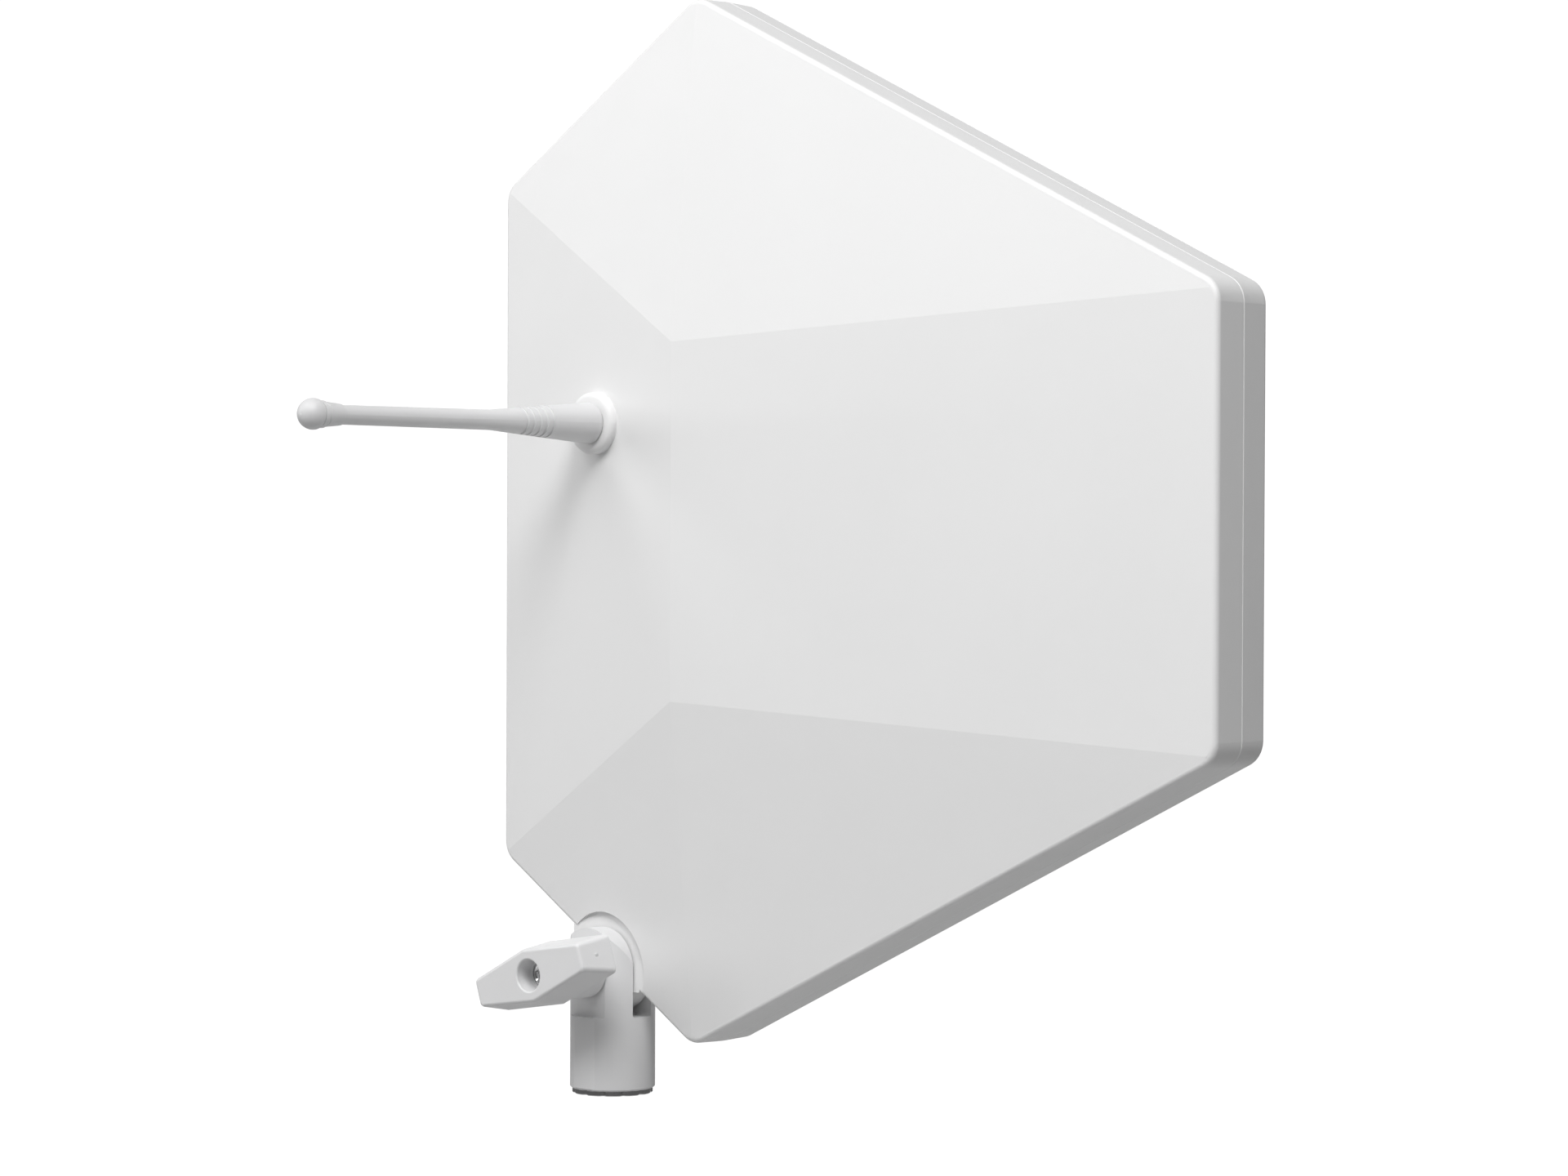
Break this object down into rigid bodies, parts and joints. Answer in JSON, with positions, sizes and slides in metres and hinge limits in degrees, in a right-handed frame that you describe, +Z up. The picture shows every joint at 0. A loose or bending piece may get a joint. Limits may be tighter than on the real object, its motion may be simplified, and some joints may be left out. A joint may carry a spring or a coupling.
{
  "type": "paddle antenna",
  "caption": "White wideband paddle antenna with two screw-in cross dipole whips, on a tilting clevis mount with a winged clamp knob and a stand thread.",
  "frame": {"origin": "middle of the mouth of the stand thread, at the bottom face of its insert", "axes": "+X is the direction the antenna points, +Z is up with the casing's nose edge upright, and -Y is the casing's right-hand side, where the clamp knob is"},
  "size_m": [0.3057, 0.3066, 0.3709],
  "materials": {
    "casing_white": "fine matte white moulding",
    "mount_plastic": "satin pale grey-white moulding",
    "whip_plastic": "satin white moulding over a metal core",
    "screw_steel": "plain zinc-plated",
    "bright_plating": "bright nickel plating",
    "brass": "turned",
    "copper": "bare copper foil and wire",
    "green_board": "solder mask on glass epoxy",
    "ferrite": "dark sintered ferrite",
    "coax_jacket": "satin black jacket",
    "white_insulator": "waxy white",
    "plate_aluminium": "satin anodised",
    "grey_fibre": "pressed fibre"
  },
  "bodies": {
    "swivel_base": {"swivel_base": "mount_plastic", "stand_thread_insert": "bright_plating", "tilt_bolt": "screw_steel"},
    "antenna": {"right_shell": "casing_white", "left_shell": "casing_white", "shell_screws": "screw_steel", "log_periodic_board": "green_board", "right_copper": "copper", "left_copper": "copper", "dipole_feed_board": "green_board", "balun_core": "ferrite", "balun_winding": "copper", "log_periodic_coax": "coax_jacket", "dipole_coax": "coax_jacket", "connector_plate": "plate_aluminium", "upper_bnc_jack": "bright_plating", "lower_bnc_jack": "bright_plating", "bnc_insulators": "white_insulator", "bnc_contacts": "brass", "bnc_lock_washers": "bright_plating", "bnc_nuts": "bright_plating", "right_whip_socket": "brass", "left_whip_socket": "brass", "right_whip_lead": "copper", "left_whip_lead": "copper", "pivot_bush": "brass", "friction_washers": "grey_fibre"},
    "knob_washer": {"knob_washer": "screw_steel"},
    "clamp_knob": {"clamp_knob": "mount_plastic", "knob_insert": "bright_plating"},
    "right_whip_washer": {"right_whip_washer": "screw_steel"},
    "right_whip": {"right_whip_sleeve": "whip_plastic", "right_whip_cap": "whip_plastic", "right_whip_stud": "brass", "right_whip_radiator": "copper"},
    "left_whip_washer": {"left_whip_washer": "screw_steel"},
    "left_whip": {"left_whip_sleeve": "whip_plastic", "left_whip_cap": "whip_plastic", "left_whip_stud": "brass", "left_whip_radiator": "copper"}
  },
  "joints": [
    {"name": "tilt", "type": "hinge", "parent": "swivel_base", "child": "antenna", "pos_m": [0, 0, 0.043], "axis": [0, -1, 0], "range_deg": [-15, 80]},
    {"name": "knob_travel", "type": "slide", "parent": "swivel_base", "child": "knob_washer", "axis": [0, -1, 0], "range_m": [0, 0.002]},
    {"name": "knob_turn", "type": "hinge", "parent": "knob_washer", "child": "clamp_knob", "pos_m": [0, 0, 0.043], "axis": [0, -1, 0], "range_deg": [0, 720]},
    {"name": "right_whip_travel", "type": "slide", "parent": "antenna", "child": "right_whip_washer", "axis": [0, -1, 0], "range_m": [0, 0.0048]},
    {"name": "right_whip_turn", "type": "hinge", "parent": "right_whip_washer", "child": "right_whip", "pos_m": [0.00199, 0.0088, 0.22901], "axis": [0, -1, 0], "range_deg": [0, 2160]},
    {"name": "left_whip_travel", "type": "slide", "parent": "antenna", "child": "left_whip_washer", "axis": [0, 1, 0], "range_m": [0, 0.0048]},
    {"name": "left_whip_turn", "type": "hinge", "parent": "left_whip_washer", "child": "left_whip", "pos_m": [0.00199, 0.0088, 0.22901], "axis": [0, 1, 0], "range_deg": [0, 2160]}
  ],
  "couplings": [
    {"joint": "knob_travel", "follows": "knob_turn", "m_per_rad": 0.00015915},
    {"joint": "right_whip_travel", "follows": "right_whip_turn", "m_per_rad": 0.00012732},
    {"joint": "left_whip_travel", "follows": "left_whip_turn", "m_per_rad": 0.00012732}
  ]
}
